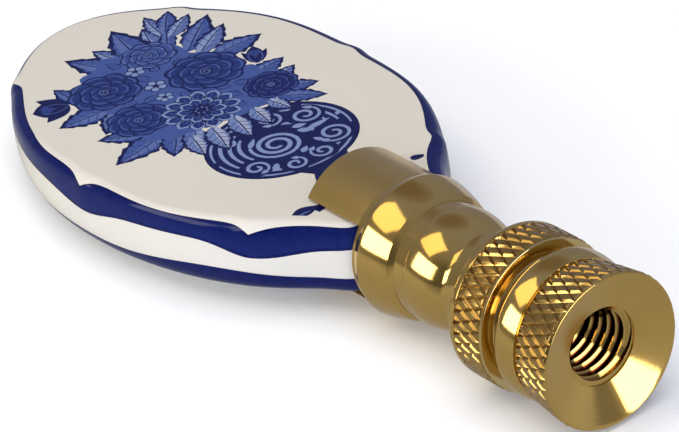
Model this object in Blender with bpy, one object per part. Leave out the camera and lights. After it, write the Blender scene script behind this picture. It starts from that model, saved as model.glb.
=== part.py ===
"""Lamp shade finial: a turned brass base whose slotted end clasps an oval porcelain plaque.

The finial lies on its side with the painted face up. Its axis runs along +Y, from the tapped
knob to the far end of the plaque, and leans down by the few degrees that bring the knob's
second ring and the lower jaw to the table, each on a small filed flat.
"""
import bmesh
import bpy
import math

MM = 0.001

# Tapped knob, measured along the axis from its open end
BAR_RADIUS = 6.35 * MM
RIM_LAND = 0.35 * MM
RIM_ROUND = 0.25 * MM
BAND_LENGTH = 4.4 * MM
BAND_ROOT_RADIUS = 5.8 * MM
BEAD_STEP = 0.3 * MM
BEAD_STEP_RADIUS = 5.35 * MM
BEAD_LENGTH = 1.8 * MM
BEAD_RADIUS = 6.1 * MM
BEAD_EDGE_RADIUS = 5.6 * MM
GROOVE_LENGTH = 0.85 * MM
GROOVE_RADIUS = 4.5 * MM
RING_LENGTH = 3.3 * MM
RING_EDGE = 0.2 * MM
RING_SHOULDER_LENGTH = 0.9 * MM
RING_SHOULDER_RADIUS = 5.4 * MM

# Knurling of the band and the ring
KNURL_COLUMNS = 64
KNURL_PITCH = 0.55 * MM
KNURL_DEPTH = 0.24 * MM

# Neck, collar and jaws
NECK_FOOT_RADIUS = 4.5 * MM
NECK_RADIUS = 4.0 * MM
NECK_LENGTH = 3.0 * MM
SWELL_LENGTH = 4.1 * MM
SWELL_RADIUS = 4.95 * MM
SWELL_CROWN = 0.12 * MM
CREASE_LENGTH = 1.1 * MM
CREASE_DEPTH = 0.12 * MM
CREASE_RISE = 0.2 * MM
COLLAR_LENGTH = 4.1 * MM
COLLAR_RADIUS = 5.88 * MM
COLLAR_HEEL_RADIUS = 5.3 * MM
COLLAR_CREST = 0.55
JAW_LENGTH = 6.9 * MM
JAW_RADIUS = 5.55 * MM
JAW_CHAMFER = 0.25 * MM
JAW_ROOT = 0.2 * MM

# How far a turned curve bows, as a share of its change of radius
ROUND_BOW = 0.25
HOLLOW_BOW = 0.35

# Tapped hole, 1/4 inch at 27 threads to the inch
HOLE_RADIUS = 3.175 * MM
THREAD_CREST_RADIUS = 3.0 * MM
THREAD_PITCH = 25.4 / 27 * MM
THREAD_TURNS = 9
CONE_DEPTH = 1.1 * MM
HOLE_DEPTH = 11.0 * MM
DRILL_POINT = 1.5 * MM
HOLE_SIDES = 32

# Porcelain plaque
PLAQUE_HALF_WIDTH = 14.5 * MM
PLAQUE_HALF_LENGTH = 23.5 * MM
PLAQUE_THICKNESS = 6.2 * MM
PLAQUE_EGG = 0.025
TAB_HALF_WIDTH = 5.6 * MM
TAB_LENGTH = 0.5 * MM
TAB_ROUND = 1.1 * MM
SEAT_GAP = 0.3 * MM
NEAR_CUSP_ANGLE = 46.0
FAR_CUSP_ANGLE = 52.0
SCALLOP_DEPTH = 0.9 * MM
CUSP_WIDTH = 0.12
SCALLOP_POINTS = 16
NORMAL_STEP = math.radians(0.5)

# The plaque's edge from face to back: height, inset from the oval, share of the scallop
FACE_HEIGHT = 0.5 * PLAQUE_THICKNESS
WIDEST_HEIGHT = 1.55 * MM
PLAQUE_EDGE = (
    (FACE_HEIGHT, 0.8 * MM, 1.0),
    (2.95 * MM, 0.4 * MM, 0.8),
    (2.35 * MM, 0.12 * MM, 0.45),
    (WIDEST_HEIGHT, 0.0, 0.2),
    (0.0, 0.0, 0.05),
    (-1.8 * MM, 0.28 * MM, 0.0),
    (-2.8 * MM, 0.7 * MM, 0.0),
    (-FACE_HEIGHT, 1.1 * MM, 0.0),
)

# Filed flats that keep the finial from rolling
FLAT_DEPTH = 0.15 * MM

# Looks
BRASS_COLOUR = (0.60, 0.44, 0.17)
BRASS_ROUGHNESS = 0.25
GLAZE_COLOUR = (0.80, 0.79, 0.76)
GLAZE_ROUGHNESS = 0.12

# Places along the axis, worked out from the sizes above
BAND_START = RIM_ROUND
BAND_END = BAND_START + BAND_LENGTH
BEAD_START = BAND_END + BEAD_STEP
BEAD_END = BEAD_START + BEAD_LENGTH
RING_START = BEAD_END + GROOVE_LENGTH
RING_END = RING_START + RING_EDGE + RING_LENGTH
NECK_START = RING_END + RING_SHOULDER_LENGTH
SWELL_START = NECK_START + NECK_LENGTH
CREASE_START = SWELL_START + SWELL_LENGTH
COLLAR_START = CREASE_START + CREASE_LENGTH
COLLAR_END = COLLAR_START + COLLAR_LENGTH
JAW_END = COLLAR_END + JAW_LENGTH
PLAQUE_START = COLLAR_END + SEAT_GAP
PLAQUE_CENTRE = PLAQUE_START + TAB_LENGTH + PLAQUE_HALF_LENGTH

# How the finial lies: the ring and the jaw's tip share the table
JAW_CONTACT = JAW_END - JAW_CHAMFER
LEAN = math.atan2(BAR_RADIUS - JAW_RADIUS, JAW_CONTACT - RING_END)
LIFT = BAR_RADIUS * math.cos(LEAN) + RING_END * math.sin(LEAN) - FLAT_DEPTH


def material(name, colour, roughness, metallic):
    """A Principled material with one colour, roughness and metallic value."""
    made = bpy.data.materials.new(name)
    made.use_nodes = True
    shader = made.node_tree.nodes["Principled BSDF"]
    shader.inputs["Base Color"].default_value = (*colour, 1.0)
    shader.inputs["Roughness"].default_value = roughness
    shader.inputs["Metallic"].default_value = metallic
    return made


def add_object(name, shape, parent, finish=None, smooth_angle=35.0):
    """Close a bmesh into a named object with its faces pointing out."""
    bmesh.ops.recalc_face_normals(shape, faces=shape.faces)
    mesh = bpy.data.meshes.new(name)
    shape.to_mesh(mesh)
    shape.free()
    mesh.shade_smooth()
    mesh.set_sharp_from_angle(angle=math.radians(smooth_angle))
    made = bpy.data.objects.new(name, mesh)
    bpy.context.scene.collection.objects.link(made)
    made.parent = parent
    if finish:
        mesh.materials.append(finish)
    return made


def cut(target, cutter):
    """Take a hidden cutter away from a piece."""
    cutter.hide_render = True
    cutter.display_type = "WIRE"
    boolean = target.modifiers.new(cutter.name, "BOOLEAN")
    boolean.operation = "DIFFERENCE"
    boolean.solver = "EXACT"
    boolean.object = cutter


def bow(start, end, height, steps):
    """Points from start to end of a profile, bowed out or in by height at the middle."""
    points = []
    for step in range(1, steps + 1):
        t = step / steps
        place = start[0] + (end[0] - start[0]) * t
        radius = start[1] + (end[1] - start[1]) * t + 4.0 * height * t * (1.0 - t)
        points.append((place, radius, 0.0))
    return points


def knurled(start, end):
    """Profile rows of a knurled stretch, a whole number of half diamonds long."""
    rows = max(2, round((end[0] - start[0]) / KNURL_PITCH))
    points = []
    for row in range(rows + 1):
        t = row / rows
        place = start[0] + (end[0] - start[0]) * t
        radius = start[1] + (end[1] - start[1]) * t
        points.append((place, radius, KNURL_DEPTH))
    return points


def base_profile():
    """The brass base's outline as (place, radius, knurl depth), from the cone to the jaws."""
    land_inner = BAR_RADIUS - RIM_ROUND - RIM_LAND
    cone_slope = (land_inner - HOLE_RADIUS) / CONE_DEPTH
    collar_foot = (COLLAR_START, SWELL_RADIUS + CREASE_RISE)
    collar_top = (COLLAR_START + COLLAR_CREST * COLLAR_LENGTH, COLLAR_RADIUS)
    collar_rise = collar_top[1] - collar_foot[1]
    collar_drop = COLLAR_RADIUS - COLLAR_HEEL_RADIUS
    rows = [(land_inner / cone_slope, 0.0, 0.0)]
    rows.append((0.0, land_inner, 0.0))
    rows.append((0.0, BAR_RADIUS - RIM_ROUND, 0.0))
    rows += knurled((BAND_START, BAR_RADIUS), (BAND_END, BAND_ROOT_RADIUS))
    rows.append((BAND_END + 0.5 * BEAD_STEP, BEAD_STEP_RADIUS, 0.0))
    rows.append((BEAD_START, BEAD_EDGE_RADIUS, 0.0))
    bead_height = BEAD_RADIUS - BEAD_EDGE_RADIUS
    rows += bow((BEAD_START, BEAD_EDGE_RADIUS), (BEAD_END, BEAD_EDGE_RADIUS), bead_height, 5)
    rows.append((BEAD_END, GROOVE_RADIUS, 0.0))
    rows.append((RING_START, GROOVE_RADIUS, 0.0))
    rows.append((RING_START, BAR_RADIUS - RING_EDGE, 0.0))
    rows += knurled((RING_START + RING_EDGE, BAR_RADIUS), (RING_END, BAR_RADIUS))
    shoulder_height = ROUND_BOW * (BAR_RADIUS - RING_SHOULDER_RADIUS)
    rows += bow((RING_END, BAR_RADIUS), (NECK_START, RING_SHOULDER_RADIUS), shoulder_height, 3)
    rows.append((NECK_START, NECK_FOOT_RADIUS, 0.0))
    hollow = NECK_RADIUS - NECK_FOOT_RADIUS
    rows += bow((NECK_START, NECK_FOOT_RADIUS), (SWELL_START, NECK_RADIUS), HOLLOW_BOW * hollow, 4)
    rows += bow((SWELL_START, NECK_RADIUS), (CREASE_START, SWELL_RADIUS), SWELL_CROWN, 5)
    rows += bow((CREASE_START, SWELL_RADIUS - CREASE_DEPTH), collar_foot, -CREASE_DEPTH, 2)
    rows += bow(collar_foot, collar_top, ROUND_BOW * collar_rise, 4)
    rows += bow(collar_top, (COLLAR_END, COLLAR_HEEL_RADIUS), ROUND_BOW * collar_drop, 4)
    rows.append((COLLAR_END + JAW_ROOT, JAW_RADIUS, 0.0))
    rows.append((JAW_CONTACT, JAW_RADIUS, 0.0))
    rows.append((JAW_END, JAW_RADIUS - JAW_CHAMFER, 0.0))
    rows.append((JAW_END, 0.0, 0.0))
    return rows


def ring_of_points(shape, place, radius, depth, row, columns):
    """One ring of a turned shape, every second point sunk where the row is knurled."""
    ring = []
    for column in range(columns):
        turn = 2.0 * math.pi * column / columns
        reach = radius - depth * ((column + row) % 2)
        ring.append(shape.verts.new((reach * math.cos(turn), place, reach * math.sin(turn))))
    return ring


def turned(rows, columns):
    """A closed turned shape about the Y axis, whose first and last rows lie on the axis.

    Where two knurled rows meet, each square is split between its two sunk points, so the
    raised points stand as four-sided diamonds with straight furrows between them.
    """
    shape = bmesh.new()
    first = shape.verts.new((0.0, rows[0][0], 0.0))
    last = shape.verts.new((0.0, rows[-1][0], 0.0))
    rings = []
    for row, (place, radius, depth) in enumerate(rows[1:-1]):
        rings.append(ring_of_points(shape, place, radius, depth, row, columns))
    for column in range(columns):
        after = (column + 1) % columns
        shape.faces.new((first, rings[0][after], rings[0][column]))
        shape.faces.new((last, rings[-1][column], rings[-1][after]))
        for row in range(len(rings) - 1):
            a, b = rings[row][column], rings[row][after]
            c, d = rings[row + 1][after], rings[row + 1][column]
            both_knurled = rows[row + 1][2] > 0.0 and rows[row + 2][2] > 0.0
            if not both_knurled:
                shape.faces.new((a, b, c, d))
            elif (column + row) % 2:
                shape.faces.new((a, b, c))
                shape.faces.new((a, c, d))
            else:
                shape.faces.new((a, b, d))
                shape.faces.new((b, c, d))
    return shape


def box(low, high):
    """A plain box between two corners."""
    shape = bmesh.new()
    bmesh.ops.create_cube(shape, size=1.0)
    for vert in shape.verts:
        for axis in range(3):
            middle = 0.5 * (low[axis] + high[axis])
            vert.co[axis] = middle + vert.co[axis] * (high[axis] - low[axis])
    return shape


def hole_shape():
    """The tapped hole: ring ridges from the cone inwards, then a plain drilled end."""
    rows = [(-CONE_DEPTH, 0.0, 0.0), (-CONE_DEPTH, HOLE_RADIUS, 0.0)]
    for turn in range(THREAD_TURNS):
        start = CONE_DEPTH + turn * THREAD_PITCH
        rows.append((start, HOLE_RADIUS, 0.0))
        rows.append((start + 0.5 * THREAD_PITCH, THREAD_CREST_RADIUS, 0.0))
    rows.append((HOLE_DEPTH, THREAD_CREST_RADIUS, 0.0))
    rows.append((HOLE_DEPTH + DRILL_POINT, 0.0, 0.0))
    return turned(rows, HOLE_SIDES)


def make_base(frame, brass, table):
    """The turned brass base: tapped knob, neck, collar and the two jaws of the slot."""
    base = add_object("brass_base", turned(base_profile(), KNURL_COLUMNS), frame, brass)
    hole = add_object("hole_cutter", hole_shape(), frame)
    slot_half = FACE_HEIGHT + SEAT_GAP
    reach = 2.0 * JAW_RADIUS
    slot_low = (-reach, COLLAR_END, -slot_half)
    slot_high = (reach, JAW_END + reach, slot_half)
    slot = add_object("slot_cutter", box(slot_low, slot_high), frame)
    cut(base, hole)
    cut(base, slot)
    cut(base, table)
    return base


def scallop(t):
    """How far a bracket's edge lies inside its oval, from its middle at 0 to a cusp at 1."""
    wave = 0.5 * (1.0 - math.cos(math.pi * t))
    spike = math.exp((t - 1.0) / CUSP_WIDTH)
    return SCALLOP_DEPTH * (wave - spike)


def oval(angle):
    """A point of the plaque's smooth oval, with the blunt tab at its near end."""
    across = PLAQUE_HALF_WIDTH * math.cos(angle) * (1.0 + PLAQUE_EGG * math.sin(angle))
    along = PLAQUE_HALF_LENGTH * math.sin(angle)
    if along < 0.0:
        inside = (TAB_HALF_WIDTH - abs(across)) / TAB_ROUND
        share = 0.5 + 0.5 * math.tanh(inside)
        along -= share * (PLAQUE_HALF_LENGTH + TAB_LENGTH + along)
    return across, along


def outline():
    """Points round the plaque as (across, along, outward x, outward y, scallop depth)."""
    cusps = [-NEAR_CUSP_ANGLE, 0.0, FAR_CUSP_ANGLE]
    cusps += [180.0 - FAR_CUSP_ANGLE, 180.0, 180.0 + NEAR_CUSP_ANGLE]
    points = []
    for index, start in enumerate(cusps):
        end = cusps[index + 1] if index + 1 < len(cusps) else 360.0 - NEAR_CUSP_ANGLE
        for step in range(SCALLOP_POINTS):
            share = step / SCALLOP_POINTS
            angle = math.radians(start + (end - start) * share)
            across, along = oval(angle)
            before = oval(angle - NORMAL_STEP)
            after = oval(angle + NORMAL_STEP)
            run = (after[0] - before[0], after[1] - before[1])
            size = math.hypot(run[0], run[1])
            depth = scallop(abs(2.0 * share - 1.0))
            points.append((across, along, run[1] / size, -run[0] / size, depth))
    return points


def make_plaque(frame, glaze):
    """The porcelain plaque: an oval slab with a scalloped, rounded shoulder."""
    shape = bmesh.new()
    rings = []
    for height, inset, share in PLAQUE_EDGE:
        ring = []
        for across, along, out_x, out_y, depth in outline():
            back = inset + share * depth
            place = (across - back * out_x, PLAQUE_CENTRE + along - back * out_y, height)
            ring.append(shape.verts.new(place))
        rings.append(ring)
    count = len(rings[0])
    shape.faces.new(rings[0])
    shape.faces.new(rings[-1])
    for upper, lower in zip(rings, rings[1:]):
        for index in range(count):
            after = (index + 1) % count
            shape.faces.new((upper[index], upper[after], lower[after], lower[index]))
    return add_object("porcelain_plaque", shape, frame, glaze, smooth_angle=50.0)


def make_frame():
    """The finial's own axes, leaning and raised so that it lies on the table at the origin."""
    frame = bpy.data.objects.new("finial_axes", None)
    bpy.context.scene.collection.objects.link(frame)
    near_end = -(BAR_RADIUS - RIM_ROUND) * math.sin(LEAN)
    far_end = (PLAQUE_CENTRE + PLAQUE_HALF_LENGTH) * math.cos(LEAN)
    far_end += WIDEST_HEIGHT * math.sin(LEAN)
    frame.rotation_euler = (-LEAN, 0.0, 0.0)
    frame.location = (0.0, -0.5 * (near_end + far_end), LIFT)
    return frame


def clear_scene():
    """Start from an empty scene."""
    for old in list(bpy.data.objects):
        bpy.data.objects.remove(old, do_unlink=True)


def main():
    """Build the finial."""
    clear_scene()
    brass = material("polished_brass", BRASS_COLOUR, BRASS_ROUGHNESS, 1.0)
    glaze = material("glazed_porcelain", GLAZE_COLOUR, GLAZE_ROUGHNESS, 0.0)
    frame = make_frame()
    reach = 2.0 * (JAW_END + PLAQUE_HALF_LENGTH)
    table_shape = box((-reach, -reach, -reach), (reach, reach, 0.0))
    table = add_object("table_cutter", table_shape, None)
    make_base(frame, brass, table)
    make_plaque(frame, glaze)


main()
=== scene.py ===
"""Lamp shade finial lying on a pale table: a turned brass base clasping a painted porcelain plaque.

Pieces are modelled in millimetres in the finial's own axes: +Y runs from the knob's open end to
the far end of the plaque, +Z out of the painted face. lay_down then turns them to metres and lays
them where the CAD model lies.
"""
from math import atan2, ceil, cos, degrees, exp, pi, radians, sin, sqrt, tanh, tau

import bpy
import numpy as np
from mathutils import Matrix, Vector
from mathutils.geometry import delaunay_2d_cdt


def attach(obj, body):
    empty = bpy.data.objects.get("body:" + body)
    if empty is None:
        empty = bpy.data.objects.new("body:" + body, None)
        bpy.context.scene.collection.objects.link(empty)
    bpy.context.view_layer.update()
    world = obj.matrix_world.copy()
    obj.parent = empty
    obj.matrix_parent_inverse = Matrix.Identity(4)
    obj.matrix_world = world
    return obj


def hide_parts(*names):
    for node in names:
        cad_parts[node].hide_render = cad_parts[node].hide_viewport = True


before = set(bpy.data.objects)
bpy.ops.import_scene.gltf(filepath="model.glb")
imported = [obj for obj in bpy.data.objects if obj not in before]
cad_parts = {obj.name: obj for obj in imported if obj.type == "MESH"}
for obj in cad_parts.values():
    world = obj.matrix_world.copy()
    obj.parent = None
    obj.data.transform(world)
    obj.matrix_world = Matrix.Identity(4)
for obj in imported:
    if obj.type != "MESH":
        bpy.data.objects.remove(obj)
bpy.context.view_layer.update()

MM = 0.001

# Photograph: picture size in pixels, and the view in the finial's axes
PICTURE_WIDTH = 679
PICTURE_HEIGHT = 432
FOCAL_PIXELS = 4085.0
SENSOR_WIDTH = 36.0
VIEW_AZIMUTH = -32.85
VIEW_ELEVATION = 29.72
VIEW_ROLL = radians(-8.63)
VIEW_DISTANCE = 300.0
KNOB_PIXEL = (611.3, 352.1)

# Brass base: radii, and places along the axis from the knob's open end, in millimetres
BAR_RADIUS = 6.35
RIM_RADIUS = 6.18
RIM_EDGE = 0.1
RIM_ROUND = 0.25
BAND_START = 0.38
BAND_END = 3.95
BAND_ROOT_RADIUS = 5.8
BEAD_START = 4.22
BEAD_END = 6.75
BEAD_STEP_RADIUS = 5.65
BEAD_RADIUS = 6.1
BEAD_EDGE_RADIUS = 5.85
BEAD_BACK_RADIUS = 5.15
BEAD_CREST = 5.8
RING_START = 7.6
GROOVE_RADIUS = 5.0
RING_KNURL_START = 7.8
RING_END = 11.1
RING_LIP = 0.35
NECK_START = 12.0
RING_SHOULDER_RADIUS = 5.4
NECK_FOOT_RADIUS = 4.5
NECK_RADIUS = 4.0
SWELL_START = 15.0
SWELL_RADIUS = 4.95
CREASE_START = 18.8
CREASE_RADIUS = 4.85
COLLAR_START = 20.4
COLLAR_FOOT_RADIUS = 5.22
COLLAR_CREST = 23.15
COLLAR_RADIUS = 5.88
COLLAR_END = 24.3
JAW_RADIUS = 5.55
JAW_CHAMFER = 0.25
JAW_END = 31.2
HOLE_RADIUS = 3.175
CREST_RADIUS = 2.74
THREAD_PITCH = 25.4 / 27
THREAD_START = 1.2
THREAD_END = 10.6
CONE_DEPTH = 1.1
HOLE_DEPTH = 11.0
DRILL_POINT = 1.5
TURNING_STEPS = 168
SMOOTH_ANGLE = radians(28.0)
WELD = 0.0005

# Knurling: diamonds twice as long along the axis as round it
KNURL_COLUMNS = 42
KNURL_CELL = 2.2
KNURL_CELLS = 2
KNURL_RELIEF = 0.2
KNURL_SLOPE = 0.15
KNURL_SOFTNESS = 0.05
KNURL_ROOT = 0.8
KNURL_SUNK = 0.25

# Porcelain plaque: an oval with a blunt tab at its near end and a shoulder scalloped between cusps
PLAQUE_HALF_WIDTH = 14.5
PLAQUE_HALF_LENGTH = 23.5
FACE_HEIGHT = 3.1
SEAT_GAP = 0.3
PLAQUE_EGG = 0.025
TAB_HALF_WIDTH = 5.6
TAB_LENGTH = 0.5
TAB_ROUND = 1.1
NEAR_CUSP_ANGLE = 46.0
RIGHT_CUSP_ANGLE = 49.0
FAR_CUSP_ANGLE = 52.0
SCALLOP_DEPTH = 0.5
CUSP_WIDTH = 0.12
BRACKET_STEPS = 40
NORMAL_STEP = radians(0.5)
FINE_WELD = 0.0002
PLAQUE_CENTRE = COLLAR_END + SEAT_GAP + TAB_LENGTH + PLAQUE_HALF_LENGTH
FLAT_RUN = 0.5
SHOULDER_WIDTH = 0.8
SHOULDER_DROP = 1.0
WALL_END = -0.6
FOOT_WIDTH = 1.1
WIDEST_HEIGHT = 1.55

# How the finial lies on the table
FLAT_DEPTH = 0.15
JAW_CONTACT = JAW_END - JAW_CHAMFER
LEAN = atan2(BAR_RADIUS - JAW_RADIUS, JAW_CONTACT - RING_END)
LIFT = BAR_RADIUS * cos(LEAN) + RING_END * sin(LEAN) - FLAT_DEPTH
NEAR_END = -(BAR_RADIUS - RIM_ROUND) * sin(LEAN)
FAR_END = (PLAQUE_CENTRE + PLAQUE_HALF_LENGTH) * cos(LEAN) + WIDEST_HEIGHT * sin(LEAN)
LYING = Matrix.Translation((0.0, -0.5 * (NEAR_END + FAR_END) * MM, LIFT * MM))
LYING = LYING @ Matrix.Rotation(-LEAN, 4, "X") @ Matrix.Scale(MM, 4)

# Settings of a colour mix
MIX = {"data_type": "RGBA"}
MULTIPLY = {"data_type": "RGBA", "blend_type": "MULTIPLY"}

# Plain ends of a mask, the painted shade in the thread's roots, and the light of the windows, lamps and sky
BLACK = "#000000"
WHITE = "#FFFFFF"
THREAD_ROOT_SHADE = "#5A2832"
DAYLIGHT = "#FFFFF8"
LAMPLIGHT = "#FFEBB4"
SKYLIGHT = "#BDD2FF"

# Cobalt strengths of the painting, from bare glaze to the darkest outline
BARE = 0.0
PALE = 0.3
LIGHT = 0.45
MIDDLE = 0.62
COBALT = 0.8
DEEP = 0.88
NAVY = 1.0


def linear(code):
    """A linear colour with alpha from an sRGB hex value."""
    colour = []
    for start in (1, 3, 5):
        value = int(code[start:start + 2], 16) / 255.0
        if value <= 0.04045:
            colour.append(value / 12.92)
        else:
            colour.append(((value + 0.055) / 1.055) ** 2.4)
    return (*colour, 1.0)


def add_node(tree, kind, settings=None, links=None, stops=(), **values):
    """Add a node, set its properties, ramp stops and inputs, and link other nodes' outputs into it."""
    node = tree.nodes.new("ShaderNode" + kind)
    for name, value in (settings or {}).items():
        setattr(node, name, value)
    for name, value in values.items():
        node.inputs[name.replace("_", " ")].default_value = value
    for socket, (source, output) in (links or {}).items():
        tree.links.new(source.outputs[output], node.inputs[socket])
    while stops and len(node.color_ramp.elements) < len(stops):
        node.color_ramp.elements.new(1.0)
    for index, (position, code) in enumerate(stops):
        node.color_ramp.elements[index].position = position
        node.color_ramp.elements[index].color = linear(code)
    return node


def new_material(name):
    """A material with its tree and its Principled shader."""
    made = bpy.data.materials.new(name)
    made.use_nodes = True
    return made, made.node_tree, made.node_tree.nodes["Principled BSDF"]


def deselect_all():
    """Leave nothing selected."""
    bpy.ops.object.select_all(action="DESELECT")


def work_on(piece):
    """Select one object alone and make it active."""
    deselect_all()
    piece.select_set(True)
    bpy.context.view_layer.objects.active = piece


def edit(mode="VERT"):
    """Go to edit mode with everything selected."""
    bpy.ops.object.mode_set(mode="EDIT")
    bpy.ops.mesh.select_mode(type=mode)
    bpy.ops.mesh.select_all(action="SELECT")


def face_outwards():
    """Point all faces outwards."""
    bpy.ops.mesh.select_all(action="SELECT")
    bpy.ops.mesh.normals_make_consistent(inside=False)


def done():
    """Back to object mode."""
    bpy.ops.object.mode_set(mode="OBJECT")


def apply_modifier(piece, kind, **settings):
    """Add a modifier, set it and apply it."""
    work_on(piece)
    modifier = piece.modifiers.new(kind.title(), kind)
    for name, value in settings.items():
        setattr(modifier, name, value)
    bpy.ops.object.modifier_apply(modifier=modifier.name)


def combine(piece, other, operation):
    """Join or cut a piece with another object, which is then thrown away."""
    apply_modifier(piece, "BOOLEAN", operation=operation, solver="EXACT", object=other)
    bpy.data.objects.remove(other, do_unlink=True)


def lay_down(piece):
    """Turn a finished piece into metres and lay it where the CAD model lies."""
    piece.data.transform(LYING)
    piece.data.update()


def arc(start, end, bulge, steps=8):
    """Profile points after start up to end, bowed outwards by bulge at the middle."""
    points = []
    for step in range(1, steps + 1):
        t = step / steps
        place = start[0] + (end[0] - start[0]) * t
        radius = start[1] + (end[1] - start[1]) * t + 4.0 * bulge * t * (1.0 - t)
        points.append((place, radius))
    return points


def rounded(corner, before, after, reach, steps=3):
    """A profile corner eased over reach towards the points before and after it."""
    c = Vector(corner)
    a = c + (Vector(before) - c).normalized() * reach
    b = c + (Vector(after) - c).normalized() * reach
    points = []
    for step in range(steps + 1):
        t = step / steps
        point = a * (1.0 - t) ** 2 + c * (2.0 * t * (1.0 - t)) + b * t ** 2
        points.append((point.x, point.y))
    return points


def base_profile():
    """The turned base from the bottom of its hole, out over the knob and along to the jaws."""
    band_bed = BAR_RADIUS - KNURL_RELIEF - KNURL_SUNK
    band_end_bed = BAND_ROOT_RADIUS - KNURL_RELIEF - KNURL_SUNK
    rows = [(HOLE_DEPTH + DRILL_POINT, 0.0), (HOLE_DEPTH, HOLE_RADIUS), (CONE_DEPTH, HOLE_RADIUS)]
    rows += rounded((0.0, RIM_RADIUS), rows[-1], (RIM_EDGE, RIM_RADIUS + 0.1), 0.05)
    rows += [(RIM_EDGE, RIM_RADIUS + 0.08), (RIM_EDGE + 0.1, band_bed), (BAND_END - 0.1, band_end_bed)]
    rows += [(BAND_END + 0.02, BEAD_STEP_RADIUS + 0.1), (BAND_END + 0.12, BEAD_STEP_RADIUS)]
    rows += [(BEAD_START - 0.06, BEAD_STEP_RADIUS), (BEAD_START, BEAD_EDGE_RADIUS)]
    rows += arc((BEAD_START, BEAD_EDGE_RADIUS), (BEAD_CREST, BEAD_RADIUS), 0.06)
    for step in range(1, 13):
        turn = 0.5 * pi * step / 13
        rows.append((BEAD_CREST + (BEAD_END - BEAD_CREST) * sin(turn),
                     BEAD_BACK_RADIUS + (BEAD_RADIUS - BEAD_BACK_RADIUS) * cos(turn)))
    rows += rounded((BEAD_END, GROOVE_RADIUS), (BEAD_END, BEAD_RADIUS), (RING_START, GROOVE_RADIUS), 0.1)
    rows += rounded((RING_START, GROOVE_RADIUS), (BEAD_END, GROOVE_RADIUS), (RING_START, BAR_RADIUS), 0.1)
    rows += rounded((RING_START, BAR_RADIUS - 0.12), (RING_START, GROOVE_RADIUS),
                    (RING_KNURL_START, BAR_RADIUS - 0.06), 0.08)
    rows += [(RING_KNURL_START, BAR_RADIUS - 0.1), (RING_KNURL_START + 0.1, band_bed)]
    lip = RING_END - RING_LIP
    rows += [(lip - 0.1, band_bed), (lip, BAR_RADIUS - 0.16), (lip + 0.05, BAR_RADIUS - 0.04)]
    rows += [(RING_END, BAR_RADIUS - 0.02)]
    rows += arc(rows[-1], (NECK_START, RING_SHOULDER_RADIUS), 0.22, 10)
    rows += rounded((NECK_START + 0.05, NECK_FOOT_RADIUS), rows[-1], (SWELL_START, NECK_RADIUS), 0.15)
    rows += arc(rows[-1], (SWELL_START, NECK_RADIUS), -0.17, 12)
    rows += arc(rows[-1], (CREASE_START - 0.06, SWELL_RADIUS - 0.04), 0.28, 16)
    rows += [(CREASE_START, SWELL_RADIUS - 0.07), (CREASE_START + 0.03, CREASE_RADIUS)]
    foot = (COLLAR_START, COLLAR_FOOT_RADIUS)
    crest = (COLLAR_CREST, COLLAR_RADIUS)
    rows += [(COLLAR_START - 0.38, CREASE_RADIUS + 0.01)]
    rows += rounded(foot, rows[-1], crest, 0.03, 2)
    rows += arc(rows[-1], crest, 0.08, 12)
    rows += arc(crest, (COLLAR_CREST + 0.45, 0.5 * (COLLAR_RADIUS + JAW_RADIUS)), 0.05, 6)
    rows += arc(rows[-1], (COLLAR_END - 0.1, JAW_RADIUS), -0.04, 6)
    rows += rounded((JAW_CONTACT, JAW_RADIUS), (COLLAR_END, JAW_RADIUS),
                    (JAW_END, JAW_RADIUS - JAW_CHAMFER), 0.08)
    rows += rounded((JAW_END, JAW_RADIUS - JAW_CHAMFER), (JAW_CONTACT, JAW_RADIUS), (JAW_END, 0.0), 0.08)
    rows += [(JAW_END, 0.0)]
    return rows


def turned(name, rows):
    """Extrude a profile from one point and spin it about the finial's axis."""
    deselect_all()
    bpy.ops.mesh.primitive_plane_add(size=1.0)
    piece = bpy.context.object
    piece.name = name
    edit()
    bpy.ops.mesh.merge(type="CENTER")
    bpy.ops.transform.translate(value=(rows[0][1], rows[0][0], 0.0))
    for before, after in zip(rows, rows[1:]):
        step = (after[1] - before[1], after[0] - before[0], 0.0)
        bpy.ops.mesh.extrude_vertices_move(TRANSFORM_OT_translate={"value": step})
    bpy.ops.mesh.select_all(action="SELECT")
    bpy.ops.mesh.spin(steps=TURNING_STEPS, angle=tau, center=(0, 0, 0), axis=(0, 1, 0))
    bpy.ops.mesh.select_all(action="SELECT")
    bpy.ops.mesh.remove_doubles(threshold=WELD)
    face_outwards()
    done()
    return piece


def tube(name, start, radius_start, radius_end):
    """An open tube about the finial's axis, a few knurl cells long, as rings extruded from a circle."""
    deselect_all()
    bpy.ops.mesh.primitive_circle_add(vertices=KNURL_COLUMNS, radius=radius_start)
    piece = bpy.context.object
    piece.name = name
    edit()
    bpy.ops.transform.rotate(value=pi / 2, orient_axis="X", center_override=(0, 0, 0))
    bpy.ops.transform.translate(value=(0.0, start, 0.0))
    radius = radius_start
    for cell in range(KNURL_CELLS):
        onward = radius_start + (radius_end - radius_start) * (cell + 1) / KNURL_CELLS
        share = onward / radius
        bpy.ops.mesh.extrude_region_move(TRANSFORM_OT_translate={"value": (0.0, KNURL_CELL, 0.0)})
        bpy.ops.transform.resize(value=(share, 1.0, share), center_override=(0, 0, 0))
        radius = onward
    done()
    return piece


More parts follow.
